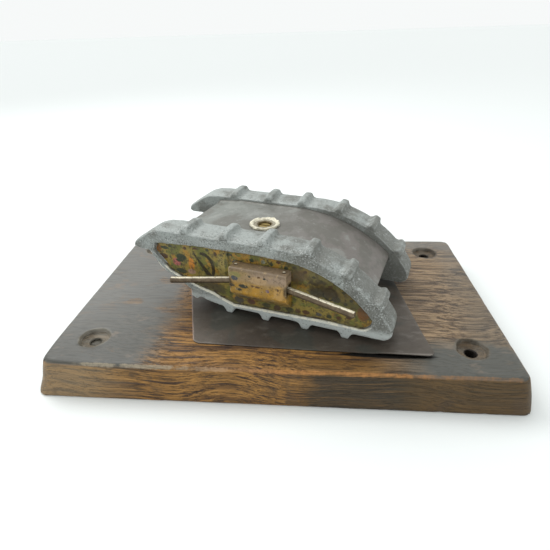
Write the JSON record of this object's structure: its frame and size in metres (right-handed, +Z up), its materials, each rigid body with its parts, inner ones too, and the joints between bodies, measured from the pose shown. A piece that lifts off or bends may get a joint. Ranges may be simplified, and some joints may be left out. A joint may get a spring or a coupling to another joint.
{
  "type": "desk ornament tank",
  "caption": "Cast miniature rhomboid tracked tank with painted side panels and sponson guns, held by a central screw to an oak board.",
  "frame": {"origin": "on the underside of the oak board, at the middle of its length and depth", "axes": "+X along the board's long edge, +Y towards its back edge, +Z up; the tank's nose points towards -X"},
  "size_m": [0.216, 0.135, 0.0619],
  "materials": {
    "oak": "old waxed oak, worn at the edges",
    "plate": "dark patinated sheet metal",
    "casting": "rough cast, oxidised grey",
    "hull_sheet": "dull rubbed sheet",
    "rod": "plain",
    "side_paint": "worn ochre and olive camouflage paint",
    "sponson_paint": "worn ochre paint with grey and pink blotches",
    "gun_brass": "dull brass with a worn shine along the top",
    "ferrule": "pale tinned ring, rough",
    "screw": "dark brass"
  },
  "bodies": {
    "base": {"oak_base": "oak", "base_plate": "plate", "mounting_screw": "screw"},
    "tank": {"left_track_casting": "casting", "right_track_casting": "casting", "hull_roof": "hull_sheet", "nose_plate": "hull_sheet", "tail_plate": "hull_sheet", "belly_plate": "hull_sheet", "front_tie_rod": "rod", "rear_tie_rod": "rod", "left_side_panel": "side_paint", "right_side_panel": "side_paint", "left_sponson": "sponson_paint", "right_sponson": "sponson_paint", "left_front_pin": "gun_brass", "left_rear_pin": "gun_brass", "right_front_pin": "gun_brass", "right_rear_pin": "gun_brass", "roof_ferrule": "ferrule"},
    "left_front_gun": {"left_front_barrel": "gun_brass"},
    "left_rear_gun": {"left_rear_barrel": "gun_brass"},
    "right_front_gun": {"right_front_barrel": "gun_brass"},
    "right_rear_gun": {"right_rear_barrel": "gun_brass"}
  },
  "joints": [
    {"name": "tank_swivel", "type": "hinge", "parent": "base", "child": "tank", "pos_m": [-0.00813, -0.00242, 0.0565], "axis": [0, 0, 1], "continuous": true},
    {"name": "left_front_gun_swing", "type": "hinge", "parent": "tank", "child": "left_front_gun", "pos_m": [-0.01913, -0.02866, 0.04], "axis": [0, 0, 1], "range_deg": [-8, 8]},
    {"name": "left_rear_gun_swing", "type": "hinge", "parent": "tank", "child": "left_rear_gun", "pos_m": [0.00344, -0.03591, 0.04], "axis": [0, 0, -1], "range_deg": [-8, 8]},
    {"name": "right_front_gun_swing", "type": "hinge", "parent": "tank", "child": "right_front_gun", "pos_m": [0.00248, 0.03865, 0.04], "axis": [0, 0, -1], "range_deg": [-8, 8]},
    {"name": "right_rear_gun_swing", "type": "hinge", "parent": "tank", "child": "right_rear_gun", "pos_m": [0.02505, 0.03141, 0.04], "axis": [0, 0, 1], "range_deg": [-8, 8]}
  ]
}
